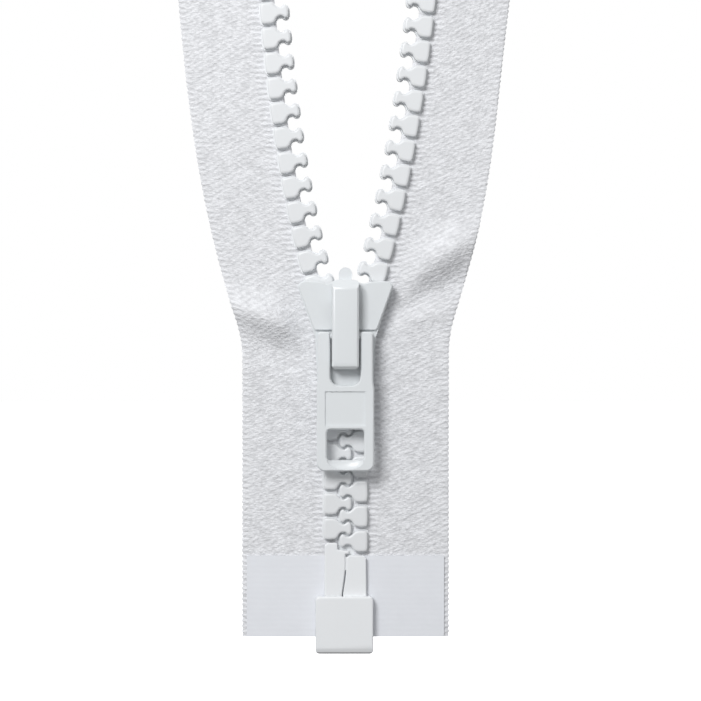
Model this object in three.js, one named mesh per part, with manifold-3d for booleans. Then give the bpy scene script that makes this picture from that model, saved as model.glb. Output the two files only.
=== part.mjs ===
// Open-end zipper with moulded teeth, a locking slider and a pull tab. Millimetres, +Z up.
// The origin is the middle of the box's foot. The front faces -Y, and both rows lie in the plane y = 0.
import * as THREE from "three";
import { mergeVertices } from "three/addons/utils/BufferGeometryUtils.js";
import Module from "manifold-3d";

const wasm = await Module();
wasm.setup();

// Driving dimensions
const PITCH = 3.5; // along a row, from one tooth to the next
const TEETH_PER_SIDE = 23;
const FIRST_TOOTH = { left: 17.55, right: 15.8 }; // half a pitch apart, so that the heads interlock
const TOOTH_HALF_DEPTH = 1.25;
const TOOTH_OUTER = 3.1; // from the row line to the outer face of a tooth
const STOP_GAP = 3.4; // from the last tooth to the top stop

const TAPE_FOOT = 2.3;
const TAPE_TOP = 105;
const TAPE_INNER = 1.6;
const TAPE_FOLD = 3.7; // a line of vertices just outside the teeth
const TAPE_OUTER = 14.55;
const TAPE_HALF_THICKNESS = 0.28;
const TAPE_STEPS = 24;
const FILM_TOP = 13.7;
const FILM_THICKNESS = 0.15;
const SLOT = { inner: 1.35, half: 0.5 }; // the slot in which a tooth or pin holds the tape

const BOX = { left: -4.2, right: 3.9, half: 2.0, top: 8.1, floor: 1.0, corner: 0.6 };
const CAVITY = { left: -3.25, right: -0.34, half: 1.55 }; // the room in the box for the insertion pin
const PIN = { outer: 2.95, bevel: 0.12 };
const INSERTION_PIN = { foot: 1.3, top: 15.6 };
const RETAINER_PIN = { foot: 7.5, top: 13.8 };

const SLIDER = { foot: 37, footHalf: 3.9, corner: 44.5, shoulder: 51.4, top: 52.3, narrow: 4.25, wide: 6.68 };
// The thicker wings of the front plate
const RAISED = { foot: 45.4, footHalf: 4.5, narrow: 4.5, wide: 6.56, bevel: 0.15 };
const PLATE = { inner: 1.55, low: 2.2, high: 2.6, back: 2.4 };
const FLANGE = { thickness: 0.5, slot: 0.5 };
const CAP = { half: 1.9, foot: 40.0, top: 52.4, front: 5.0, wall: 0.9, bevel: 0.55 };
const TUNNEL = { foot: 43.7, top: 49.2 };
const LUG = { half: 1.15, front: 3.7, foot: 41.2 };
const PAWL = { half: 0.7, foot: 45.9, top: 48.8, back: 2.75, front: 3.15, tip: 1.45 };
const TAB_PIVOT = { y: -3.3, z: 44.6, radius: 0.5 };
const TAB = { back: 2.6, front: 4.0, foot: 25.8, half: 4.0, armHalf: 3.85, slotHalf: 2.12, slotFoot: 37.7 };
const WINDOW = { half: 2.6, foot: 27.3, top: 31.6, corner: 0.5 };
const SCOOP = { half: 2.6, depth: 0.7, height: 1.35 }; // the thumb rest below the tab's window
const PANEL = { left: -2.85, right: 2.75, foot: 32.1, top: 36.9, depth: 0.18 };
const EMBED = 0.1; // how far joined solids run into each other

// The rows part above the closed chain, each along its own curve.
const SPREAD = {
  left: { start: 44.5, reach: 11.6, length: 31.5 },
  right: { start: 45, reach: 14.2, length: 42 },
};
const SPREAD_BLEND = 3;

// Materials
const material = (color, roughness) => new THREE.MeshStandardMaterial({ color, roughness, metalness: 0 });
const WOVEN = material(0xe6e8ee, 0.95);
const FILM = material(0xe0e3e9, 0.35);
const TOOTH = material(0xeceef0, 0.4);
const SLIDER_PAINT = material(0xdce0e3, 0.38);
const SPRING_STEEL = material(0xb8bbbf, 0.3);

const group = new THREE.Group();

function addMesh(name, geometry, look) {
  const mesh = new THREE.Mesh(geometry, look);
  mesh.name = name;
  group.add(mesh);
  return mesh;
}

// Solids
function solidOf(geometry) {
  const bare = geometry.clone();
  bare.deleteAttribute("normal");
  bare.deleteAttribute("uv");
  const merged = mergeVertices(bare, 1e-4);
  return new wasm.Manifold(
    new wasm.Mesh({
      numProp: 3,
      vertProperties: new Float32Array(merged.attributes.position.array),
      triVerts: new Uint32Array(merged.index.array),
    }),
  );
}

function geometryOf(solid) {
  const mesh = solid.getMesh();
  const geometry = new THREE.BufferGeometry();
  geometry.setAttribute("position", new THREE.BufferAttribute(mesh.vertProperties, 3));
  geometry.setIndex(new THREE.BufferAttribute(mesh.triVerts, 1));
  return geometry;
}

function block(x0, x1, y0, y1, z0, z1) {
  const geometry = new THREE.BoxGeometry(x1 - x0, y1 - y0, z1 - z0);
  return solidOf(geometry.translate((x0 + x1) / 2, (y0 + y1) / 2, (z0 + z1) / 2));
}

const shapeOf = (points) => new THREE.Shape(points.map(([x, y]) => new THREE.Vector2(x, y)));

// A front outline of [x, z] points or a Shape, from depth y0 to y1. A bevel rounds off both faces.
function slab(outline, y0, y1, bevel = 0, holes = [], bevelSegments = 1) {
  const shape = outline instanceof THREE.Shape ? outline : shapeOf(outline);
  shape.holes.push(...holes);
  const geometry = new THREE.ExtrudeGeometry(shape, {
    depth: y1 - y0 - 2 * bevel,
    bevelEnabled: bevel > 0,
    bevelSize: bevel,
    bevelOffset: -bevel,
    bevelThickness: bevel,
    bevelSegments,
    curveSegments: 6,
  });
  return geometry.rotateX(Math.PI / 2).translate(0, y1 - bevel, 0);
}

// A side profile of [y, z] points, from x0 to x1.
function sideways(profile, x0, x1) {
  const geometry = new THREE.ExtrudeGeometry(shapeOf(profile), { depth: x1 - x0, bevelEnabled: false });
  return solidOf(geometry.rotateY(Math.PI / 2).rotateX(Math.PI / 2).translate(x0, 0, 0));
}

function roundedRectangle(x0, x1, z0, z1, radius, path = new THREE.Shape()) {
  path.moveTo(x0 + radius, z0);
  path.lineTo(x1 - radius, z0);
  path.absarc(x1 - radius, z0 + radius, radius, -Math.PI / 2, 0);
  path.lineTo(x1, z1 - radius);
  path.absarc(x1 - radius, z1 - radius, radius, 0, Math.PI / 2);
  path.lineTo(x0 + radius, z1);
  path.absarc(x0 + radius, z1 - radius, radius, Math.PI / 2, Math.PI);
  path.lineTo(x0, z0 + radius);
  path.absarc(x0 + radius, z0 + radius, radius, Math.PI, 1.5 * Math.PI);
  return path;
}

// Rows
const signOf = (side) => (side === "left" ? -1 : 1);

// How far a row line stands from the middle at height z.
function spreadAt(side, z) {
  const { start, reach, length } = SPREAD[side];
  const past = z - start;
  let run = Math.max(past, 0);
  if (Math.abs(past) < SPREAD_BLEND) run = (past + SPREAD_BLEND) ** 2 / (4 * SPREAD_BLEND);
  return reach * (1 - Math.exp(-run / length));
}

const slopeAt = (side, z) => (spreadAt(side, z + 0.05) - spreadAt(side, z - 0.05)) / 0.1;

// The height of the point that lies a given length along a row line.
function heightAlong(side, distance) {
  const step = 0.05;
  let z = 0;
  for (let gone = 0; gone < distance; gone += step) z += step / Math.hypot(1, slopeAt(side, z));
  return z;
}

function placeOnRow(mesh, side, distance) {
  const z = heightAlong(side, distance);
  mesh.position.set(signOf(side) * spreadAt(side, z), 0, z);
  mesh.rotation.y = signOf(side) * Math.atan(slopeAt(side, z));
}

// Teeth: a block that grips the tape, a neck, and a hooked mushroom head past the middle of the chain.
const TOOTH_OUTLINE = [
  [3.1, -1.2], [3.1, 1.2], [2.8, 1.475], [1.75, 1.475], [1.3, 1.35], [0.98, 1.0], [0.6, 0.66],
  [0.1, 0.6], [-0.14, 0.88], [-0.36, 0.98], [-0.66, 0.86], [-0.84, 0.5], [-0.84, -0.4],
  [-0.68, -0.74], [-0.4, -0.82], [-0.2, -0.75], [0.03, -0.46], [0.55, -0.47], [0.92, -0.72],
  [1.12, -1.15], [1.5, -1.475], [2.8, -1.475],
];
const STOP_OUTLINE = [
  [3.1, -1.275], [3.1, 1.275], [2.8, 1.575], [1.1, 1.575], [0.8, 1.275], [0.8, -1.275], [1.1, -1.575],
  [2.8, -1.575],
];

const mirrored = (outline, side) => outline.map(([x, z]) => [signOf(side) * x, z]);

// A slab on one side with the slot that its tape runs through.
function gripping(outline, side, bevel = 0) {
  const sign = signOf(side);
  const heights = outline.map(([, z]) => z);
  const ends = [sign * SLOT.inner, sign * (TOOTH_OUTER + 1)].sort((a, b) => a - b);
  const slot = block(...ends, -SLOT.half, SLOT.half, Math.min(...heights) - 1, Math.max(...heights) + 1);
  return solidOf(slab(mirrored(outline, side), -TOOTH_HALF_DEPTH, TOOTH_HALF_DEPTH, bevel)).subtract(slot);
}

function addTeeth(side) {
  const geometry = geometryOf(gripping(TOOTH_OUTLINE, side));
  for (let i = 0; i < TEETH_PER_SIDE; i++) {
    const mesh = addMesh(`${side}_tooth_${String(i + 1).padStart(2, "0")}`, geometry, TOOTH);
    placeOnRow(mesh, side, FIRST_TOOTH[side] + i * PITCH);
  }
}

function addTopStop(side) {
  const mesh = addMesh(`${side}_top_stop`, geometryOf(gripping(STOP_OUTLINE, side)), TOOTH);
  placeOnRow(mesh, side, FIRST_TOOTH[side] + (TEETH_PER_SIDE - 1) * PITCH + STOP_GAP);
}

// Tapes: a flat band whose inner strip lies in the teeth. The foot end is straight, so the rows of
// vertices are level.
function addTape(side) {
  const geometry = new THREE.BoxGeometry(1, 1, 1, 2, 1, TAPE_STEPS);
  const position = geometry.attributes.position;
  const across = [TAPE_INNER, TAPE_FOLD, TAPE_OUTER];
  for (let i = 0; i < position.count; i++) {
    const z = TAPE_FOOT + (position.getZ(i) + 0.5) * (TAPE_TOP - TAPE_FOOT);
    const column = Math.round((position.getX(i) + 0.5) * 2);
    const distance = across[side === "left" ? 2 - column : column];
    const y = position.getY(i) * 2 * TAPE_HALF_THICKNESS;
    position.setXYZ(i, signOf(side) * (spreadAt(side, z) + distance), y, z);
  }
  addMesh(`${side}_tape`, geometry, WOVEN);
}

function addFilm(side) {
  const aboveBox = BOX.top + 0.3;
  const outline = [
    [4.5, TAPE_FOOT], [13.9, TAPE_FOOT], [13.9, FILM_TOP], [3.3, FILM_TOP], [3.3, aboveBox], [4.5, aboveBox],
  ];
  const front = -TAPE_HALF_THICKNESS - FILM_THICKNESS;
  addMesh(`${side}_film`, slab(mirrored(outline, side), front, -TAPE_HALF_THICKNESS), FILM);
}

// The foot: the insertion pin stands in the box's cavity, and the retainer pin is one with the box.
// The seam between the pins swings to the left as it goes down into the box.
function addInsertionPin() {
  const { foot, top } = INSERTION_PIN;
  const outline = [
    [0.5, foot], [2.5, foot], [PIN.outer, foot + 0.5], [PIN.outer, top - 0.4], [2.55, top], [1.3, top],
    [1.1, top - 0.2], [1.1, top - 1.0], [-0.45, top - 1.15], [-0.55, top - 1.55], [0.02, top - 1.65],
    [0.03, 12.4], [0.12, 11], [0.34, 9.4], [0.5, 8.4],
  ];
  const slot = block(-4, -SLOT.inner, -SLOT.half, SLOT.half, TAPE_FOOT - 0.3, top + 1);
  const pin = solidOf(slab(mirrored(outline, "left"), -TOOTH_HALF_DEPTH, TOOTH_HALF_DEPTH, PIN.bevel));
  addMesh("insertion_pin", geometryOf(pin.subtract(slot)), TOOTH);
}

function addRetainerBox() {
  const { left, right, half, top, floor, corner } = BOX;
  const outline = roundedRectangle(left, right, 0, top, corner);
  const rounding = [
    [-half, 1.5], [0.06 - half, 0.85], [0.3 - half, 0.3], [0.75 - half, 0], [half - 0.75, 0],
    [half - 0.3, 0.3], [half - 0.06, 0.85], [half, 1.5], [half, top], [-half, top],
  ];
  const body = solidOf(slab(outline, -half, half, 0.3, [], 2));
  const shell = body.intersect(sideways(rounding, left - 1, right + 1));
  const pinOutline = [
    [-0.34, RETAINER_PIN.foot], [PIN.outer, RETAINER_PIN.foot], [2.9, RETAINER_PIN.top - 0.4],
    [2.5, RETAINER_PIN.top], [0.5, RETAINER_PIN.top], [0.16, RETAINER_PIN.top - 0.35],
    [0.13, 12.4], [0.04, 11], [-0.18, 9.4], [-0.34, 8.4],
  ];
  const pin = solidOf(slab(pinOutline, -TOOTH_HALF_DEPTH, TOOTH_HALF_DEPTH, PIN.bevel));
  const cavity = block(CAVITY.left, CAVITY.right, -CAVITY.half, CAVITY.half, floor, top + 1);
  const leftSlot = block(left - 1, CAVITY.left + 0.25, -SLOT.half, SLOT.half, floor, top + 1);
  const rightSlot = block(
    SLOT.inner, right + 1, -SLOT.half, SLOT.half, TAPE_FOOT - 0.3, RETAINER_PIN.top + 1,
  );
  const box = shell.subtract(cavity).add(pin).subtract(leftSlot).subtract(rightSlot);
  addMesh("retainer_box", geometryOf(box), TOOTH);
}

// The slider: two plates joined by the divider post, with flanges that hold the teeth between them.
function plateOutline({ foot, footHalf, corner = foot, narrow, wide }) {
  const { shoulder, top } = SLIDER;
  const shape = new THREE.Shape();
  shape.moveTo(-footHalf + 0.3, foot);
  shape.lineTo(footHalf - 0.3, foot);
  shape.lineTo(footHalf, foot + 0.3);
  if (corner > foot + 0.3) shape.lineTo(narrow, corner);
  shape.lineTo(wide, shoulder);
  shape.quadraticCurveTo(wide, top, wide - 1.1, top);
  shape.quadraticCurveTo(3.6, top, 2.6, top - 0.35);
  shape.quadraticCurveTo(1.8, top - 0.2, 1.2, top + 0.2);
  shape.lineTo(-1.2, top + 0.2);
  shape.quadraticCurveTo(-1.8, top - 0.2, -2.6, top - 0.35);
  shape.quadraticCurveTo(-3.6, top, -wide + 1.1, top);
  shape.quadraticCurveTo(-wide, top, -wide, shoulder);
  if (corner > foot + 0.3) shape.lineTo(-narrow, corner);
  shape.lineTo(-footHalf, foot + 0.3);
  return shape;
}

function flangeOutline() {
  const { foot, footHalf, corner, shoulder, narrow, wide } = SLIDER;
  const t = FLANGE.thickness;
  return [
    [footHalf - t, foot + 0.3], [footHalf, foot + 0.3], [narrow - 0.02, corner],
    [wide - 0.1, shoulder - 0.2], [wide - t - 0.1, shoulder - 0.2], [narrow - t, corner],
  ];
}

function postOutline() {
  const shape = new THREE.Shape();
  shape.moveTo(-0.2, 48.7);
  shape.lineTo(0.05, 48.7);
  shape.lineTo(0.75, 52);
  shape.lineTo(0.95, 53.3);
  shape.absarc(0, 53.3, 0.95, 0, Math.PI);
  shape.lineTo(-0.95, 52);
  return shape;
}

function addSliderBody() {
  const inner = PLATE.inner + EMBED;
  const front = solidOf(slab(plateOutline(SLIDER), -PLATE.low, -PLATE.inner));
  const raised = solidOf(slab(plateOutline(RAISED), -PLATE.high, -inner, RAISED.bevel));
  const back = solidOf(slab(plateOutline(SLIDER), PLATE.inner, PLATE.back));
  const post = solidOf(slab(postOutline(), -PLATE.inner - 0.3, PLATE.inner + 0.3));
  let body = front.add(raised).add(back).add(post);
  for (const side of ["left", "right"]) {
    const outline = mirrored(flangeOutline(), side);
    body = body.add(solidOf(slab(outline, -inner, -FLANGE.slot)));
    body = body.add(solidOf(slab(outline, FLANGE.slot, inner)));
  }
  const lug = (foot, top) => block(-LUG.half, LUG.half, -LUG.front, -inner, foot, top);
  const pawlHole = block(-0.6, 0.6, -3, -1, PAWL.top - 1.3, PAWL.top - 0.1);
  body = body.add(lug(LUG.foot, TUNNEL.foot - 0.4)).add(lug(TUNNEL.top + 0.6, SLIDER.top - 0.6));
  addMesh("slider_body", geometryOf(body.subtract(pawlHole)), SLIDER_PAINT);
}

// The cap is a convex bar with a skirt at each end, and the tab's crossbar runs through the tunnel between.
function addBridgeCap() {
  const { half, foot, top, front, wall, bevel } = CAP;
  const outline = roundedRectangle(-half, half, foot, top, 0.6);
  const bar = solidOf(slab(outline, -front, -PLATE.high - 0.1, bevel, [], 3));
  const profile = [
    [-front, foot + 1], [0.12 - front, foot + 0.4], [0.6 - front, foot], [0, foot], [0, top],
    [1.0 - front, top], [0.3 - front, top - 0.7], [-front, top - 1.4],
  ];
  const inside = -front + wall;
  const tunnel = block(-3, 3, inside, 0, TUNNEL.foot, TUNNEL.top);
  const room = (low, high) => block(-1.45, 1.45, inside, 0, low, high);
  const cap = bar
    .intersect(sideways(profile, -half - 1, half + 1))
    .subtract(tunnel)
    .subtract(room(foot + wall, TUNNEL.foot + EMBED))
    .subtract(room(TUNNEL.top - EMBED, SLIDER.top - 0.3));
  addMesh("bridge_cap", geometryOf(cap), SLIDER_PAINT);
}

function addLock() {
  const { half, foot, top, back, front, tip } = PAWL;
  const lever = block(-half, half, -front, -back, foot, top);
  const catchTip = block(-0.3, 0.3, -back - 0.1, -tip, top - 1.0, top - 0.4);
  addMesh("lock_pawl", geometryOf(lever.add(catchTip)), SPRING_STEEL);
  const leaf = new THREE.Shape();
  leaf.moveTo(foot - 0.2, 3.95);
  leaf.quadraticCurveTo((foot + top) / 2, 3.55, top + 0.2, 3.95);
  leaf.lineTo(top + 0.2, 4.05);
  leaf.quadraticCurveTo((foot + top) / 2, 3.67, foot - 0.2, 4.05);
  const spring = new THREE.ExtrudeGeometry(leaf, { depth: 2 * half, bevelEnabled: false, curveSegments: 8 });
  spring.translate(0, 0, -half).rotateY(-Math.PI / 2).rotateZ(Math.PI);
  addMesh("lock_spring", spring, SPRING_STEEL);
}

function addPullTab() {
  const { back, front, foot, half, armHalf, slotHalf, slotFoot } = TAB;
  const armTop = TAB_PIVOT.z + 0.6;
  const plate = new THREE.Shape();
  plate.moveTo(-half + 1.1, foot);
  plate.lineTo(half - 1.1, foot);
  plate.absarc(half - 1.1, foot + 1.1, 1.1, -Math.PI / 2, 0);
  plate.lineTo(half, slotFoot - 0.4);
  plate.lineTo(armHalf, slotFoot + 0.6);
  plate.lineTo(armHalf, armTop - 0.3);
  plate.lineTo(armHalf - 0.3, armTop);
  plate.lineTo(slotHalf + 0.2, armTop);
  plate.lineTo(slotHalf, armTop - 0.2);
  plate.lineTo(slotHalf, slotFoot + 1.5);
  plate.quadraticCurveTo(slotHalf, slotFoot, slotHalf - 1.5, slotFoot);
  plate.lineTo(1.5 - slotHalf, slotFoot);
  plate.quadraticCurveTo(-slotHalf, slotFoot, -slotHalf, slotFoot + 1.5);
  plate.lineTo(-slotHalf, armTop - 0.2);
  plate.lineTo(-slotHalf - 0.2, armTop);
  plate.lineTo(0.3 - armHalf, armTop);
  plate.lineTo(-armHalf, armTop - 0.3);
  plate.lineTo(-armHalf, slotFoot + 0.6);
  plate.lineTo(-half, slotFoot - 0.4);
  plate.lineTo(-half, foot + 1.1);
  plate.absarc(-half + 1.1, foot + 1.1, 1.1, Math.PI, 1.5 * Math.PI);
  const opening = roundedRectangle(
    -WINDOW.half, WINDOW.half, WINDOW.foot, WINDOW.top, WINDOW.corner, new THREE.Path(),
  );
  const crossbar = new THREE.CylinderGeometry(TAB_PIVOT.radius, TAB_PIVOT.radius, 2 * slotHalf + 1, 12);
  crossbar.rotateZ(Math.PI / 2).translate(0, TAB_PIVOT.y, TAB_PIVOT.z);
  const panel = block(PANEL.left, PANEL.right, -front - 1, -front + PANEL.depth, PANEL.foot, PANEL.top);
  const scoop = new THREE.SphereGeometry(1, 20, 12).scale(SCOOP.half, SCOOP.depth, SCOOP.height);
  scoop.translate(0, -front, WINDOW.foot);
  const tab = solidOf(slab(plate, -front, -back, 0.2, [opening]))
    .add(solidOf(crossbar))
    .subtract(panel)
    .subtract(solidOf(scoop));
  addMesh("pull_tab", geometryOf(tab), SLIDER_PAINT);
}

for (const side of ["left", "right"]) {
  addTape(side);
  addFilm(side);
  addTeeth(side);
  addTopStop(side);
}
addInsertionPin();
addRetainerBox();
addSliderBody();
addBridgeCap();
addLock();
addPullTab();

export default group;
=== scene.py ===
"""Open-end zipper: woven tapes, moulded teeth, a lacquered slider with its tab, and the box and pin."""

import math

import bpy
import numpy as np
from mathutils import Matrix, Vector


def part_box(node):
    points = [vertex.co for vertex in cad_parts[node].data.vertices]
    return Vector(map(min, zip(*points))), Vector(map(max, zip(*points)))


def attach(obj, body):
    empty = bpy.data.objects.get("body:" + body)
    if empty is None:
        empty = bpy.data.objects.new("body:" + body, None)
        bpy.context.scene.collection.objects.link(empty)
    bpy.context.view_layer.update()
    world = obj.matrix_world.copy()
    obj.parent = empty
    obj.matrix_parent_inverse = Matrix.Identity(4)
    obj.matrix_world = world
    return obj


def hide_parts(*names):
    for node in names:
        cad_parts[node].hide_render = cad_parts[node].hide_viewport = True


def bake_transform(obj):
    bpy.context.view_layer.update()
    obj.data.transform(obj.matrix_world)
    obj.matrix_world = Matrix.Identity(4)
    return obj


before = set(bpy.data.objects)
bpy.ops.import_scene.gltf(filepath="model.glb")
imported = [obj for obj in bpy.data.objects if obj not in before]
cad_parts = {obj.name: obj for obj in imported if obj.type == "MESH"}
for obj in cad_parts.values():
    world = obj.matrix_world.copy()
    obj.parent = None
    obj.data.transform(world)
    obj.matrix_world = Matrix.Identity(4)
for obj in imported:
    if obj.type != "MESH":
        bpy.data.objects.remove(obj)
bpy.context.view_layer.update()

bl_info = {
    "name": "Open-End Zipper",
    "version": (1, 0, 0),
    "blender": (4, 5, 0),
    "location": "3D View > Sidebar > Zipper",
    "description": "Builds the finished surfaces of an open-end zipper around its frame",
    "category": "Object",
}

MM = 0.001
SIDES = {"left": -1, "right": 1}

# The rows' curves, as the frame has them: millimetres from the middle, by height.
SPREAD = {
    "left": {"start": 44.5, "reach": 11.6, "length": 31.5},
    "right": {"start": 45.0, "reach": 14.2, "length": 42.0},
}
SPREAD_BLEND = 3.0
PITCH = 3.5
FIRST_TOOTH = {"left": 17.55, "right": 15.8}
TEETH_PER_SIDE = 23

# Where the rows bend as the slider comes down
BEND_END = (0, 0, 24 * MM)

TOOTH_OUTER = 3.1
# How far the last tooth stands from its top stop
STOP_GAP = 3.4
TAPE_INNER = 1.0
TAPE_OUTER = 14.55
# Where the cord in the tape's inner edge ends, and how much of the grid's width it takes
CORD_EDGE = TOOTH_OUTER - 0.6
CORD_SHARE = 0.11
# The right tape narrows by this share between these heights
NARROWING = {"share": 0.085, "from": 58, "to": 88}
FILM_INNER = 2.0
FILM_WIDTH = 11.9
FILM_OUTER = 13.7
FILM_TOP = 13.7
# The film's middle, its half thickness and how much of the weave is felt in its front
FILM_PLACE = -0.345
FILM_HALF_THICKNESS = 0.07
FILM_RELIEF = 0.05
# Points across and up
TAPE_GRID = (72, 610)
FILM_GRID = (40, 40)
# The height of one rib beside the teeth, and the lean of the stitches
RIB_PITCH = 0.76
SLANT = math.radians(28)

# A tooth seen from the front: distance from the row line, and height.
TOOTH_OUTLINE = (
    (3.1, -1.2), (3.1, 1.2), (2.8, 1.475), (1.75, 1.475), (1.3, 1.35), (0.98, 1.0), (0.6, 0.66),
    (0.1, 0.6), (-0.14, 0.88), (-0.36, 0.98), (-0.66, 0.86), (-0.84, 0.5), (-0.84, -0.4),
    (-0.68, -0.74), (-0.4, -0.82), (-0.2, -0.75), (0.03, -0.46), (0.55, -0.47), (0.92, -0.72),
    (1.12, -1.15), (1.5, -1.475), (2.8, -1.475),
)
STOP_OUTLINE = (
    (3.1, -1.275), (3.1, 1.275), (2.8, 1.575), (1.1, 1.575), (0.8, 1.275), (0.8, -1.275),
    (1.1, -1.575), (2.8, -1.575),
)
TOOTH_HALF_DEPTH = 1.25
TOOTH_RADIUS = 0.2
TOOTH_DOME = 0.03
# Rings in the rounded rim of a slab, and those on its face: how far in, and the share of the dome there
RIM_RINGS = 5
DOME_RINGS = ((0.05, 0.6), (0.1, 1.0))
# An outline is eased once for each of these steps that it moves in
EASING_STEP = 0.03
# The rounding of webs and rails
THIN_RADIUS = 0.04
# The thin rim that closes the chain between the heads
WEB = {"half_depth": {"left": 0.45, "right": 0.4}, "reach": 0.2}
# Rails at the foot, each an outline and a half depth: the seam between the two pins, and the nose of
# the insertion pin, which closes the upper half of the seam and the gap under the first head
SEAM_RAIL = (((-0.75, 7.9), (0.3, 7.9), (0.4, 13.5), (-0.3, 13.5)), 0.38)
NOSE_RAIL = (
    ((-1.4, 13.2), (1.7, 13.2), (1.7, 14.3), (1.1, 15.4), (0.1, 15.1), (-1.4, 15.2)), 0.36,
)
SLIT_RAIL = (((-0.35, 11.7), (0.3, 11.7), (0.45, 13.6), (-0.25, 13.6)), 1.13)

# Each piece's rounding as a share of the edge radius
ROUNDING = {
    "insertion_pin": 1.6, "retainer_box": 1.6, "slider_body": 1, "bridge_cap": 2.2, "pull_tab": 1.3,
}
STEEL_RADIUS = 0.03 * MM

# The stage, in metres and watts: each light's name, place, size and power
LIGHTS = (
    ("Key light", (-0.15, -0.35, 0.25), 0.16, 1.3),
    ("Rear light", (0.2, 0.38, 0.12), 0.3, 0.8),
)
LIT_POINT = (0, 0, 0.045)
FLOOR_SIZE = 6
FLOOR_HEIGHT = -0.045
CAMERA_PLACE = (0.0007, -0.2747, 0.0426)
CAMERA_LENS = 100


# ---------------------------------------------------------------- small tools

def deselect():
    """Leaves nothing selected."""
    if bpy.context.mode != "OBJECT":
        bpy.ops.object.mode_set(mode="OBJECT")
    bpy.ops.object.select_all(action="DESELECT")


def pick(obj):
    """Selects one object and makes it the active one."""
    deselect()
    obj.select_set(True)
    bpy.context.view_layer.objects.active = obj


def smooth_step(low, high, value):
    """0 below low, 1 above high, and a smooth rise between."""
    t = np.clip((value - low) / (high - low), 0, 1)
    return t * t * (3 - 2 * t)


def spread(side, z):
    """How far a row line stands from the middle at height z, in millimetres."""
    curve = SPREAD[side]
    past = z - curve["start"]
    run = np.where(
        np.abs(past) < SPREAD_BLEND,
        (past + SPREAD_BLEND) ** 2 / (4 * SPREAD_BLEND),
        np.maximum(past, 0),
    )
    return curve["reach"] * (1 - np.exp(-run / curve["length"]))


def place_on_row(side, distance):
    """The middle of a tooth that lies a given length along its row, and its lean."""
    step = 0.05
    z = 0.0
    gone = 0.0
    while gone < distance:
        slope = float(spread(side, z + step) - spread(side, z - step)) / (2 * step)
        z += step / math.hypot(1, slope)
        gone += step
    slope = float(spread(side, z + step) - spread(side, z - step)) / (2 * step)
    return SIDES[side] * float(spread(side, z)), z, math.atan(slope)


def rounded_outline(points, rounds=2):
    """The outline with its corners cut back again and again, which rounds them off."""
    points = np.array(points, dtype=float)
    for _ in range(rounds):
        after = np.roll(points, -1, axis=0)
        cuts = [0.75 * points + 0.25 * after, 0.25 * points + 0.75 * after]
        points = np.stack(cuts, axis=1).reshape(-1, 2)
    return points


def grown_outline(points, reach):
    """The outline moved outwards by reach."""
    ahead = np.roll(points, -1, axis=0) - np.roll(points, 1, axis=0)
    outward = np.stack([ahead[:, 1], -ahead[:, 0]], axis=1)
    outward /= np.linalg.norm(outward, axis=1, keepdims=True)
    return points + outward * reach


def inset_outline(points, depth):
    """The outline moved inwards by depth, and eased so that its corners don't cross at small depths."""
    inner = grown_outline(points, -depth)
    for _ in range(int(depth / EASING_STEP)):
        inner = 0.6 * inner + 0.2 * (np.roll(inner, 1, axis=0) + np.roll(inner, -1, axis=0))
    return inner


def moulded_slab(name, points, half_depth, radius, dome=0.0):
    """A slab with a given front outline, rounded rims and, with dome, a face that swells a little.
    Each of the rings is the outline, moved in by some depth, at some y."""
    quarter = [math.pi / 2 * step / (RIM_RINGS - 1) for step in range(RIM_RINGS)]
    rings = [(radius * (1 - math.cos(a)), half_depth - radius * (1 - math.sin(a))) for a in quarter]
    if dome:
        rings += [(radius + inward, half_depth + share * dome) for inward, share in DOME_RINGS]
    rings = [(depth, -y) for depth, y in reversed(rings)] + rings
    outlines = np.array([inset_outline(points, depth) for depth, _ in rings])
    deselect()
    bpy.ops.mesh.primitive_grid_add(x_subdivisions=len(points), y_subdivisions=len(rings) - 1, size=2)
    obj = bpy.context.object
    obj.name = name
    for vertex in obj.data.vertices:
        corner = round((vertex.co.x + 1) / 2 * len(points)) % len(points)
        ring = round((vertex.co.y + 1) / 2 * (len(rings) - 1))
        x, z = outlines[ring][corner]
        vertex.co = (x * MM, rings[ring][1] * MM, z * MM)
    bpy.ops.object.mode_set(mode="EDIT")
    bpy.ops.mesh.select_all(action="SELECT")
    bpy.ops.mesh.remove_doubles(threshold=1e-7)
    bpy.ops.mesh.fill_holes(sides=0)
    bpy.ops.mesh.select_all(action="SELECT")
    bpy.ops.mesh.normals_make_consistent(inside=False)
    bpy.ops.object.mode_set(mode="OBJECT")
    return obj


def joined_solid(whole, extra):
    """One solid out of two that overlap."""
    pick(whole)
    union = whole.modifiers.new("Union", "BOOLEAN")
    union.operation = "UNION"
    union.solver = "EXACT"
    union.object = extra
    bpy.ops.object.modifier_apply(modifier=union.name)
    bpy.data.objects.remove(extra)
    return whole


def soften(obj, angle=40):
    """Smooth shading that keeps flat faces flat."""
    pick(obj)
    bpy.ops.object.shade_smooth_by_angle(angle=math.radians(angle))
    weights = obj.modifiers.new("Face weights", "WEIGHTED_NORMAL")
    weights.keep_sharp = True
    bpy.ops.object.modifier_apply(modifier=weights.name)
    return obj


def finish_piece(obj, node, body, material):
    """Gives a piece its material, hides the frame node it stands for and gives the piece its body."""
    obj.data.materials.clear()
    obj.data.materials.append(material)
    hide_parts(node)
    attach(obj, body)


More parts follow.
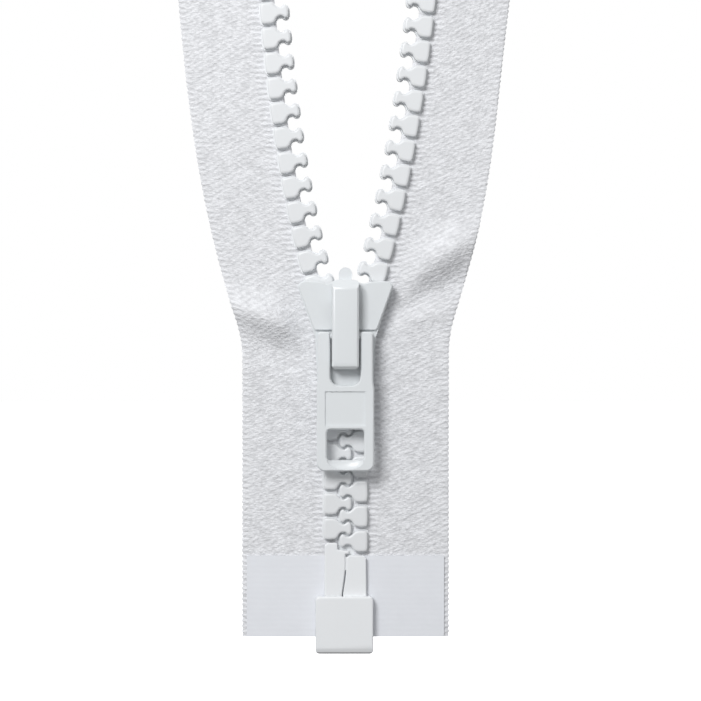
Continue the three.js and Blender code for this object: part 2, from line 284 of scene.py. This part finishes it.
def rounded_copy(node, name, radius, segments=3, angle=28):
    """A copy of a frame node with its flat faces joined up and its edges rounded off."""
    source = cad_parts[node]
    obj = bpy.data.objects.new(name, source.data.copy())
    bpy.context.collection.objects.link(obj)
    pick(obj)
    bpy.ops.object.mode_set(mode="EDIT")
    bpy.ops.mesh.select_all(action="SELECT")
    bpy.ops.mesh.remove_doubles(threshold=2e-6)
    bpy.ops.mesh.dissolve_limited(angle_limit=math.radians(1.5))
    bpy.ops.object.mode_set(mode="OBJECT")
    bevel = obj.modifiers.new("Rounded edges", "BEVEL")
    bevel.width = radius
    bevel.segments = segments
    bevel.limit_method = "ANGLE"
    bevel.angle_limit = math.radians(angle)
    bevel.use_clamp_overlap = True
    bpy.ops.object.modifier_apply(modifier=bevel.name)
    bpy.ops.object.mode_set(mode="EDIT")
    bpy.ops.mesh.select_all(action="SELECT")
    bpy.ops.mesh.normals_make_consistent(inside=False)
    bpy.ops.object.mode_set(mode="OBJECT")
    return soften(obj)


# ---------------------------------------------------------------- materials

def new_material(name):
    """An empty material with its node tree, its shader and a helper to add nodes."""
    material = bpy.data.materials.new(name)
    material.use_nodes = True
    tree = material.node_tree
    shader = tree.nodes["Principled BSDF"]

    def add(kind, **values):
        node = tree.nodes.new(kind)
        for key, value in values.items():
            if hasattr(node, key):
                setattr(node, key, value)
            else:
                node.inputs[key.replace("_", " ")].default_value = value
        return node

    return material, tree.links.new, shader, add


def tinted(add, link, shader, factor, dark, light):
    """Colours the shader between two tones."""
    ramp = add("ShaderNodeValToRGB")
    ramp.color_ramp.elements[0].color = (*dark, 1)
    ramp.color_ramp.elements[1].color = (*light, 1)
    link(factor, ramp.inputs["Fac"])
    link(ramp.outputs["Color"], shader.inputs["Base Color"])
    return ramp


def scaled_tone(colour, share):
    """The colour made darker by the same share in each channel."""
    return tuple(channel * share for channel in colour)


def woven_cloth(looks):
    """Polyester tape: fine threads and fuzz over the stitches that the mesh already has, and painted
    shade in the valleys between them.
    """
    material, link, shader, add = new_material("Woven tape")
    place = add("ShaderNodeAttribute", attribute_name="cloth_mm")
    parts = add("ShaderNodeSeparateXYZ")
    link(place.outputs["Vector"], parts.inputs["Vector"])
    turned = add("ShaderNodeMapping")
    turned.inputs["Rotation"].default_value = (0, 0, -SLANT)
    turned.inputs["Scale"].default_value = (1.0, 1.7, 0.0)
    link(place.outputs["Vector"], turned.inputs["Vector"])
    stitches = add("ShaderNodeTexVoronoi", feature="SMOOTH_F1", Scale=2.1)
    stitches.inputs["Smoothness"].default_value = 0.35
    stitches.inputs["Randomness"].default_value = 0.8
    threads = add("ShaderNodeTexNoise", Scale=3.4, Detail=4.0, Roughness=0.7)
    blotch = add("ShaderNodeTexNoise", Scale=0.5, Detail=3.0, Roughness=0.65)
    for texture in (stitches, threads, blotch):
        link(turned.outputs["Vector"], texture.inputs["Vector"])
    height = add("ShaderNodeMath", operation="MULTIPLY_ADD")
    height.inputs[1].default_value = -1.3
    link(stitches.outputs["Distance"], height.inputs[0])
    link(threads.outputs["Fac"], height.inputs[2])
    bump = add("ShaderNodeBump", Strength=0.75)
    bump.inputs["Distance"].default_value = 0.00011
    link(height.outputs[0], bump.inputs["Height"])
    link(bump.outputs["Normal"], shader.inputs["Normal"])
    # painted shade: the valleys between the stitches and the low yarn are coloured darker, down to 0.78
    # of the tape colour, and the whole is a little blotchy
    yarn_shade_and_blotch = add("ShaderNodeMath", operation="MULTIPLY_ADD")
    yarn_shade_and_blotch.inputs[1].default_value = 0.34
    link(parts.outputs["Z"], yarn_shade_and_blotch.inputs[0])
    link(blotch.outputs["Fac"], yarn_shade_and_blotch.inputs[2])
    stitch_shade_and_blotch = add("ShaderNodeMath", operation="MULTIPLY_ADD")
    stitch_shade_and_blotch.inputs[1].default_value = -0.45
    link(stitches.outputs["Distance"], stitch_shade_and_blotch.inputs[0])
    link(yarn_shade_and_blotch.outputs[0], stitch_shade_and_blotch.inputs[2])
    # the ramp's dark end is the painted shade of the valleys
    tone = tinted(add, link, shader, stitch_shade_and_blotch.outputs[0], scaled_tone(looks.cloth, 0.78), looks.cloth)
    tone.color_ramp.elements[0].position = 0.0
    tone.color_ramp.elements[1].position = 0.52
    shader.inputs["Roughness"].default_value = 0.92
    shader.inputs["Sheen Weight"].default_value = 0.2
    shader.inputs["Sheen Roughness"].default_value = 0.5
    return material


def bonded_film(looks):
    """Clear film pressed on cloth: satin, with the weave faint beneath."""
    material, link, shader, add = new_material("Bonded film")
    place = add("ShaderNodeAttribute", attribute_name="cloth_mm")
    ripple = add("ShaderNodeTexNoise", Scale=0.35, Detail=2.0, Roughness=0.5)
    threads = add("ShaderNodeTexWave", wave_type="BANDS", bands_direction="Y", Scale=0.42, Distortion=2.5)
    for texture in (ripple, threads):
        link(place.outputs["Vector"], texture.inputs["Vector"])
    height = add("ShaderNodeMath", operation="MULTIPLY_ADD")
    height.inputs[1].default_value = 0.12
    link(threads.outputs["Fac"], height.inputs[0])
    link(ripple.outputs["Fac"], height.inputs[2])
    bump = add("ShaderNodeBump", Strength=0.35)
    bump.inputs["Distance"].default_value = 0.0001
    link(height.outputs[0], bump.inputs["Height"])
    link(bump.outputs["Normal"], shader.inputs["Normal"])
    tinted(add, link, shader, ripple.outputs["Fac"], scaled_tone(looks.film, 0.95), looks.film)
    shader.inputs["Roughness"].default_value = 0.42
    shader.inputs["Coat Weight"].default_value = 0.25
    shader.inputs["Coat Roughness"].default_value = 0.3
    return material


def plain_finish(name, colour, roughness, coat, grain, depth, metallic=0.0):
    """A moulded or lacquered finish with a soft tone and a fine orange-peel surface."""
    material, link, shader, add = new_material(name)
    place = add("ShaderNodeTexCoord")
    cloud = add("ShaderNodeTexNoise", Scale=180.0, Detail=3.0, Roughness=0.6)
    peel = add("ShaderNodeTexNoise", Scale=grain, Detail=3.0, Roughness=0.55)
    for texture in (cloud, peel):
        link(place.outputs["Object"], texture.inputs["Vector"])
    bump = add("ShaderNodeBump", Strength=0.4)
    bump.inputs["Distance"].default_value = depth
    link(peel.outputs["Fac"], bump.inputs["Height"])
    link(bump.outputs["Normal"], shader.inputs["Normal"])
    tinted(add, link, shader, cloud.outputs["Fac"], scaled_tone(colour, 0.955), colour)
    gloss = add("ShaderNodeMapRange")
    gloss.inputs["To Min"].default_value = roughness - 0.05
    gloss.inputs["To Max"].default_value = roughness + 0.07
    link(peel.outputs["Fac"], gloss.inputs["Value"])
    link(gloss.outputs["Result"], shader.inputs["Roughness"])
    shader.inputs["Coat Weight"].default_value = coat
    shader.inputs["Coat Roughness"].default_value = 0.2
    shader.inputs["Metallic"].default_value = metallic
    return material


def finish_of(name):
    """The object's finishes, each made once."""
    looks = bpy.context.scene.zipper_looks
    makers = {
        "Woven tape": lambda: woven_cloth(looks),
        "Bonded film": lambda: bonded_film(looks),
        "Moulded plastic": lambda: plain_finish(
            name, tuple(looks.plastic), roughness=0.36, coat=0.1, grain=2600.0, depth=0.000012,
        ),
        # painted shade: the teeth and stops take the moulding colour darkened by 0.92, so that their
        # brightly lit tops stay grey
        "Moulded teeth with painted shade": lambda: plain_finish(
            name, scaled_tone(looks.plastic, 0.92), roughness=0.42, coat=0.05, grain=2600.0,
            depth=0.000012,
        ),
        "White lacquer": lambda: plain_finish(
            name, tuple(looks.lacquer), roughness=0.3, coat=0.3, grain=1500.0, depth=0.000010,
        ),
        "Spring steel": lambda: plain_finish(
            name, tuple(looks.steel), roughness=0.34, coat=0.0, grain=4000.0, depth=0.000006,
            metallic=1.0,
        ),
    }
    return bpy.data.materials.get(name) or makers[name]()


# ---------------------------------------------------------------- cloth

def grain(d, z, cell_d, cell_z, seed):
    """Smooth noise between -1 and 1 on a lattice of the given cells."""
    lattice = np.random.default_rng(seed).uniform(-1, 1, (257, 257))
    u, v = d / cell_d + 40, z / cell_z + 40
    i, j = np.floor(u).astype(int), np.floor(v).astype(int)
    s, t = smooth_step(0, 1, u - i), smooth_step(0, 1, v - j)
    i, j = i % 256, j % 256
    low = lattice[i, j] * (1 - s) + lattice[i + 1, j] * s
    high = lattice[i, j + 1] * (1 - s) + lattice[i + 1, j + 1] * s
    return low * (1 - t) + high * t


def weave_height(d, z, side):
    """How the yarn stands out of the cloth at d across and z up, between about -1.5 and 1.5."""
    turn = 2 * math.pi
    x = SIDES[side] * d
    seed = 10 + SIDES[side]
    # ribs of a stitch each beside the teeth, of uneven length
    rib = z / RIB_PITCH + 0.1 * grain(d, z, 1.3, 1.7, seed)
    ribs = np.cos(turn * rib) + 0.5 * grain(d, z, 0.5, 0.5, seed + 3)
    reach = 4.3 + 0.3 * grain(np.zeros_like(d), z, 1.0, RIB_PITCH, seed + 6)
    near = 1 - smooth_step(reach, reach + 0.6, d)
    # short stitches in slanting lines over the rest
    along = x * math.cos(SLANT) + z * math.sin(SLANT) + 0.16 * grain(d, z, 1.2, 1.2, seed + 9)
    across = z * math.cos(SLANT) - x * math.sin(SLANT) + 0.1 * grain(d, z, 1.5, 1.5, seed + 12)
    line = across / 0.72
    stitch = np.cos(turn * (along / 0.8 + 0.37 * np.floor(line + 0.5)))
    field = 0.34 * np.cos(turn * line) + 0.2 * stitch + 0.5 * grain(d, z, 0.38, 0.34, seed + 15)
    selvedge = smooth_step(13.35, 13.6, d)
    loops = np.cos(turn * z / RIB_PITCH) * (0.5 + 0.5 * np.cos(turn * (d - 14.0) / 1.2))
    height = ribs * near + field * (1 - near)
    return height * (1 - selvedge) + 1.1 * loops * selvedge


# Each pucker: across, height, slant, half length, half width and depth, in millimetres.
PUCKERS = {
    "left": (
        (10.4, 47.3, 0.4, 5.6, 2.5, 1.95),
        (9.0, 42.0, 0.35, 4.6, 1.7, -0.3),
    ),
    "right": (
        (10.6, 56.2, 0.6, 5.6, 2.9, 1.8),
        (10.0, 50.6, 0.5, 4.6, 1.9, -0.5),
        (9.0, 46.6, 0.4, 4.2, 1.4, 0.25),
    ),
}


def pucker_depth(d, z, side):
    """How far the cloth is pushed forward where the slider gathers it, in millimetres."""
    total = np.zeros_like(d)
    for across, height, slant, length, width, depth in PUCKERS[side]:
        along = (d - across) * math.cos(slant) + (z - height) * math.sin(slant)
        over = (z - height) * math.cos(slant) - (d - across) * math.sin(slant)
        total += depth * np.exp(-((along / length) ** 2) - (over / width) ** 2)
    lazy = 0.25 * np.sin(0.115 * z + 0.8) * smooth_step(56, 74, z)
    return (total + lazy * (d / TAPE_OUTER)) * smooth_step(4.6, 8.4, d)


def tape_half_thickness(d):
    """The tape's half thickness, with the cord that is woven into its inner edge."""
    cord = 0.22 * np.sqrt(np.clip(1 - ((d - 1.5) / 0.5) ** 2, 0, 1))
    rounded = np.sqrt(np.clip((TAPE_OUTER + 0.02 - d) / 0.25, 0, 1))
    return (0.2 + cord) * (0.45 + 0.55 * rounded)


def cloth_band(name, grid, shape):
    """A closed sheet from a grid of points across and up. From a point's two places, each 0 to 1, and
    its face, -1 in front and 1 behind, shape gives x, y and z in millimetres, the yarn's height and
    the place across the cloth."""
    deselect()
    bpy.ops.mesh.primitive_grid_add(x_subdivisions=grid[0] - 1, y_subdivisions=grid[1] - 1, size=2)
    obj = bpy.context.object
    obj.name = name
    shell = obj.modifiers.new("Thickness", "SOLIDIFY")
    shell.thickness = 0.2
    shell.offset = 0
    bpy.ops.object.modifier_apply(modifier=shell.name)
    mesh = obj.data
    places = np.empty(len(mesh.vertices) * 3)
    mesh.vertices.foreach_get("co", places)
    u, v, face = places.reshape(-1, 3).T
    x, y, z, yarn, d = shape((u + 1) / 2, (v + 1) / 2, np.sign(face))
    mesh.vertices.foreach_set("co", (np.stack([x, y, z], axis=1) * MM).ravel())
    # across, up and the yarn's height; the tape's finish also uses the yarn's height for painted shade in
    # its valleys
    cloth = mesh.attributes.new("cloth_mm", "FLOAT_VECTOR", "POINT")
    cloth.data.foreach_set("vector", np.stack([d, z, yarn], axis=1).astype(np.float32).ravel())
    mesh.update()
    bpy.ops.object.mode_set(mode="EDIT")
    bpy.ops.mesh.select_all(action="SELECT")
    bpy.ops.mesh.normals_make_consistent(inside=False)
    bpy.ops.object.mode_set(mode="OBJECT")
    bpy.ops.object.shade_smooth_by_angle(angle=math.radians(65))
    return obj


# ---------------------------------------------------------------- settings

class ZipperLooks(bpy.types.PropertyGroup):
    """Sizes and colours that a user would change."""

    cloth: bpy.props.FloatVectorProperty(
        name="Tape colour", description="Colour of the woven tapes", subtype="COLOR",
        size=3, min=0, max=1, default=(0.87, 0.88, 0.91),
    )
    film: bpy.props.FloatVectorProperty(
        name="Film colour", description="Colour of the reinforcing film", subtype="COLOR",
        size=3, min=0, max=1, default=(0.82, 0.84, 0.885),
    )
    plastic: bpy.props.FloatVectorProperty(
        name="Moulding colour", description="Colour of the teeth, pins, box and stops", subtype="COLOR",
        size=3, min=0, max=1, default=(0.86, 0.88, 0.90),
    )
    lacquer: bpy.props.FloatVectorProperty(
        name="Slider colour", description="Colour of the slider, cap and tab", subtype="COLOR",
        size=3, min=0, max=1, default=(0.77, 0.80, 0.82),
    )
    steel: bpy.props.FloatVectorProperty(
        name="Steel colour", description="Colour of the lock's steel pieces", subtype="COLOR",
        size=3, min=0, max=1, default=(0.62, 0.63, 0.65),
    )
    weave_depth: bpy.props.FloatProperty(
        name="Weave depth", description="How far the yarn stands out of the tape",
        default=0.055 * MM, min=0, max=0.2 * MM, precision=6, unit="LENGTH",
    )
    pucker: bpy.props.FloatProperty(
        name="Pucker", description="How much the tapes gather beside the slider",
        default=100, min=0, max=200, subtype="PERCENTAGE",
    )
    edge_radius: bpy.props.FloatProperty(
        name="Edge radius", description="Rounding of the moulded and cast edges",
        default=0.2 * MM, min=0.02 * MM, max=0.5 * MM, precision=6, unit="LENGTH",
    )


# ---------------------------------------------------------------- operators

class ZIPPER_OT_tapes(bpy.types.Operator):
    """Weave both tapes, with a corded inner edge, ribs, slanting stitches and a knitted selvedge"""

    bl_idname = "zipper.tapes"
    bl_label = "Tapes"

    def execute(self, context):
        for side in SIDES:
            cloth = cloth_band(
                f"{side}_woven_tape", TAPE_GRID, lambda u, v, face: tape_shape(side, u, v, face)
            )
            cloth.data.materials.append(finish_of("Woven tape"))
            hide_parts(f"{side}_tape")
            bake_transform(cloth)
        return {"FINISHED"}


def tape_shape(side, u, v, face):
    """A tape's surface: across it by u and up it by v, both from 0 to 1."""
    looks = bpy.context.scene.zipper_looks
    low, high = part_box(f"{side}_tape")
    z = (low[2] + v * (high[2] - low[2])) / MM
    d = np.where(
        u < CORD_SHARE,
        TAPE_INNER + (CORD_EDGE - TAPE_INNER) * u / CORD_SHARE,
        CORD_EDGE + (TAPE_OUTER - TOOTH_OUTER + 0.6) * (u - CORD_SHARE) / (1 - CORD_SHARE),
    )
    yarn = weave_height(d, z, side)
    below = 1 - smooth_step(FILM_TOP - 0.4, FILM_TOP + 0.5, z)
    pressed = below * (1 - smooth_step(FILM_OUTER, FILM_OUTER + 0.2, d))
    yarn *= (1 - 0.88 * pressed) * (0.3 + 0.7 * smooth_step(2.6, 3.2, d))
    gathered = pucker_depth(d, z, side) * looks.pucker / 100
    y = face * (tape_half_thickness(d) + yarn * looks.weave_depth / MM) - gathered
    narrowed = NARROWING["share"] * smooth_step(NARROWING["from"], NARROWING["to"], z) * (side == "right")
    out = d - np.maximum(d - TOOTH_OUTER, 0) * narrowed
    edge = smooth_step(TAPE_OUTER - 0.6, TAPE_OUTER, d)
    serrated = 0.06 * np.cos(2 * math.pi * z / RIB_PITCH) * edge
    x = SIDES[side] * (spread(side, z) + out + serrated)
    return x, y, z, yarn, SIDES[side] * d


class ZIPPER_OT_films(bpy.types.Operator):
    """Lay the satin film over the foot of each tape"""

    bl_idname = "zipper.films"
    bl_label = "Films"

    def execute(self, context):
        for side in SIDES:
            film = cloth_band(
                f"{side}_bonded_film", FILM_GRID, lambda u, v, face: film_shape(side, u, v, face)
            )
            film.data.materials.append(finish_of("Bonded film"))
            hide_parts(f"{side}_film")
            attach(film, "root")
        return {"FINISHED"}


def film_shape(side, u, v, face):
    """A film's surface over the foot of its tape, with the weave just felt beneath it."""
    low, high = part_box(f"{side}_film")
    z = (low[2] + v * (high[2] - low[2])) / MM
    d = FILM_INNER + u * FILM_WIDTH
    yarn = 0.2 * weave_height(d, z, side)
    y = FILM_PLACE + face * FILM_HALF_THICKNESS + FILM_RELIEF * yarn * (face < 0)
    return SIDES[side] * d, y, z, yarn, SIDES[side] * d


def moulded_tooth(name, side, outline, rim):
    """A tooth or stop in the middle of the world, on its side of the row line."""
    points = rounded_outline([(SIDES[side] * d, z) for d, z in outline])
    if side == "left":
        points = points[::-1]
    tooth = moulded_slab(name, points, TOOTH_HALF_DEPTH, TOOTH_RADIUS, dome=TOOTH_DOME)
    if rim:
        grown = grown_outline(points, WEB["reach"])
        web = moulded_slab("web", grown, WEB["half_depth"][side], THIN_RADIUS)
        tooth = joined_solid(tooth, web)
    return soften(tooth)


def put_on_row(model, name, side, distance):
    """A copy of a tooth with a mesh of its own, moved to its place on the row."""
    x, z, lean = place_on_row(side, distance)
    tooth = bpy.data.objects.new(name, model.data.copy())
    bpy.context.collection.objects.link(tooth)
    pick(tooth)
    tooth.location = (x * MM, 0, z * MM)
    tooth.rotation_euler = (0, SIDES[side] * lean, 0)
    bpy.ops.object.transform_apply(location=True, rotation=True, scale=True)
    return tooth


class ZIPPER_OT_teeth(bpy.types.Operator):
    """Mould the teeth of both rows"""

    bl_idname = "zipper.teeth"
    bl_label = "Teeth"

    def execute(self, context):
        for side in SIDES:
            model = moulded_tooth("tooth_model", side, TOOTH_OUTLINE, rim=True)
            for number in range(TEETH_PER_SIDE):
                node = f"{side}_tooth_{number + 1:02d}"
                distance = FIRST_TOOTH[side] + number * PITCH
                tooth = put_on_row(model, node.replace("tooth", "moulded_tooth"), side, distance)
                if distance * MM < BEND_END[2]:
                    tooth.data.materials.append(finish_of("Moulded teeth with painted shade"))
                    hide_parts(node)
                    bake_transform(tooth)
                else:
                    finish_piece(tooth, node, f"{side}_row", finish_of("Moulded teeth with painted shade"))
            bpy.data.objects.remove(model)
        return {"FINISHED"}


class ZIPPER_OT_top_stops(bpy.types.Operator):
    """Mould the stop at the top of each row"""

    bl_idname = "zipper.top_stops"
    bl_label = "Top stops"

    def execute(self, context):
        for side in SIDES:
            model = moulded_tooth("stop_model", side, STOP_OUTLINE, rim=False)
            distance = FIRST_TOOTH[side] + (TEETH_PER_SIDE - 1) * PITCH + STOP_GAP
            stop = put_on_row(model, f"{side}_moulded_stop", side, distance)
            finish_piece(stop, f"{side}_top_stop", f"{side}_row", finish_of("Moulded teeth with painted shade"))
            bpy.data.objects.remove(model)
        return {"FINISHED"}


class ZIPPER_OT_foot(bpy.types.Operator):
    """Mould the insertion pin and the box with its retainer pin"""

    bl_idname = "zipper.foot"
    bl_label = "Box and pin"

    def execute(self, context):
        radius = context.scene.zipper_looks.edge_radius
        for node, name, rails in (
            ("insertion_pin", "moulded_pin", (NOSE_RAIL, SLIT_RAIL)),
            ("retainer_box", "moulded_box", (SEAM_RAIL,)),
        ):
            piece = rounded_copy(node, name, ROUNDING[node] * radius)
            for outline, half_depth in rails:
                eased = rounded_outline(outline, rounds=1)
                rail = moulded_slab("rail", eased, half_depth, THIN_RADIUS)
                piece = joined_solid(piece, rail)
            soften(piece)
            finish_piece(piece, node, "root", finish_of("Moulded plastic"))
        return {"FINISHED"}


class ZIPPER_OT_slider(bpy.types.Operator):
    """Cast the slider body and the cap over its bridge"""

    bl_idname = "zipper.slider"
    bl_label = "Slider"

    def execute(self, context):
        radius = context.scene.zipper_looks.edge_radius
        for node, name in (("slider_body", "cast_slider"), ("bridge_cap", "cast_cap")):
            piece = rounded_copy(node, name, ROUNDING[node] * radius, segments=4)
            finish_piece(piece, node, "slider", finish_of("White lacquer"))
        return {"FINISHED"}


class ZIPPER_OT_lock(bpy.types.Operator):
    """Press the steel pawl and its leaf spring"""

    bl_idname = "zipper.lock"
    bl_label = "Lock"

    def execute(self, context):
        for node, name, body in (
            ("lock_pawl", "pressed_pawl", "pawl"),
            ("lock_spring", "pressed_spring", "slider"),
        ):
            piece = rounded_copy(node, name, STEEL_RADIUS, segments=2)
            finish_piece(piece, node, body, finish_of("Spring steel"))
        return {"FINISHED"}


class ZIPPER_OT_pull_tab(bpy.types.Operator):
    """Cast the pull tab with its crossbar, slot and window"""

    bl_idname = "zipper.pull_tab"
    bl_label = "Pull tab"

    def execute(self, context):
        radius = context.scene.zipper_looks.edge_radius
        tab = rounded_copy("pull_tab", "cast_tab", ROUNDING["pull_tab"] * radius, segments=4)
        finish_piece(tab, "pull_tab", "tab", finish_of("White lacquer"))
        return {"FINISHED"}


class ZIPPER_OT_stage(bpy.types.Operator):
    """Set the pale floor, the soft lights and the camera"""

    bl_idname = "zipper.stage"
    bl_label = "Stage"

    def execute(self, context):
        scene = context.scene
        scene.view_settings.view_transform = "Standard"
        scene.view_settings.look = "None"
        light_the_room(scene)
        for light in LIGHTS:
            add_light(*light)
        deselect()
        bpy.ops.mesh.primitive_plane_add(size=FLOOR_SIZE, location=(0, 0, FLOOR_HEIGHT))
        floor = context.object
        floor.name = "pale_floor"
        floor.data.materials.append(floor_finish())
        floor.visible_diffuse = False
        floor.visible_glossy = False
        deselect()
        bpy.ops.object.camera_add(location=CAMERA_PLACE, rotation=(math.pi / 2, 0, 0))
        camera = context.object
        camera.name = "Front camera"
        camera.data.lens = CAMERA_LENS
        camera.data.clip_start = 0.01
        scene.camera = camera
        return {"FINISHED"}


def floor_finish():
    """A plain pale floor."""
    material, _, shader, _ = new_material("Pale floor")
    shader.inputs["Base Color"].default_value = (0.97, 0.97, 0.97, 1)
    shader.inputs["Roughness"].default_value = 0.9
    shader.inputs["Emission Color"].default_value = (1, 1, 1, 1)
    shader.inputs["Emission Strength"].default_value = 0.6
    return material


def light_the_room(scene):
    """A white room that is brighter above than below, and plain white behind the object."""
    world = bpy.data.worlds.new("White room")
    scene.world = world
    world.use_nodes = True
    nodes, link = world.node_tree.nodes, world.node_tree.links.new
    nodes.clear()
    place = nodes.new("ShaderNodeTexCoord")
    split = nodes.new("ShaderNodeSeparateXYZ")
    link(place.outputs["Generated"], split.inputs["Vector"])
    bright = nodes.new("ShaderNodeMapRange")
    bright.inputs["From Min"].default_value = -0.7
    bright.inputs["From Max"].default_value = 0.9
    bright.inputs["To Min"].default_value = 0.26
    bright.inputs["To Max"].default_value = 0.58
    link(split.outputs["Z"], bright.inputs["Value"])
    room = nodes.new("ShaderNodeBackground")
    link(bright.outputs["Result"], room.inputs["Strength"])
    plain = nodes.new("ShaderNodeBackground")
    plain.inputs["Strength"].default_value = 1.0
    seen = nodes.new("ShaderNodeLightPath")
    mix = nodes.new("ShaderNodeMixShader")
    link(seen.outputs["Is Camera Ray"], mix.inputs["Fac"])
    link(room.outputs["Background"], mix.inputs[1])
    link(plain.outputs["Background"], mix.inputs[2])
    for background in (room, plain):
        background.inputs["Color"].default_value = (1, 1, 1, 1)
    output = nodes.new("ShaderNodeOutputWorld")
    link(mix.outputs["Shader"], output.inputs["Surface"])


def add_light(name, place, size, power):
    """A soft square light that faces the middle of the zipper."""
    deselect()
    bpy.ops.object.light_add(type="AREA", location=place)
    light = bpy.context.object
    light.name = name
    light.data.size = size
    light.data.energy = power
    middle = Vector(LIT_POINT)
    light.rotation_euler = (middle - light.location).to_track_quat("-Z", "Y").to_euler()


SETTINGS = ("cloth", "film", "plastic", "lacquer", "steel", "weave_depth", "pucker", "edge_radius")


class ZIPPER_PT_panel(bpy.types.Panel):
    """The zipper's settings and building steps"""

    bl_idname = "ZIPPER_PT_panel"
    bl_label = "Open-End Zipper"
    bl_space_type = "VIEW_3D"
    bl_region_type = "UI"
    bl_category = "Zipper"

    def draw(self, context):
        looks = context.scene.zipper_looks
        for name in SETTINGS:
            self.layout.prop(looks, name)
        for step in STEPS:
            self.layout.operator(step.bl_idname)


STEPS = (
    ZIPPER_OT_stage,
    ZIPPER_OT_tapes,
    ZIPPER_OT_films,
    ZIPPER_OT_teeth,
    ZIPPER_OT_top_stops,
    ZIPPER_OT_foot,
    ZIPPER_OT_slider,
    ZIPPER_OT_lock,
    ZIPPER_OT_pull_tab,
)


def register():
    """Adds the classes and the scene's settings to Blender."""
    for cls in (ZipperLooks, *STEPS, ZIPPER_PT_panel):
        bpy.utils.register_class(cls)
    bpy.types.Scene.zipper_looks = bpy.props.PointerProperty(type=ZipperLooks)


def unregister():
    """Takes them out again."""
    del bpy.types.Scene.zipper_looks
    for cls in reversed((ZipperLooks, *STEPS, ZIPPER_PT_panel)):
        bpy.utils.unregister_class(cls)


def main():
    """Registers the classes and runs every step."""
    register()
    for step in STEPS:
        getattr(bpy.ops.zipper, step.bl_idname.split(".")[1])()


if __name__ == "__main__":
    main()
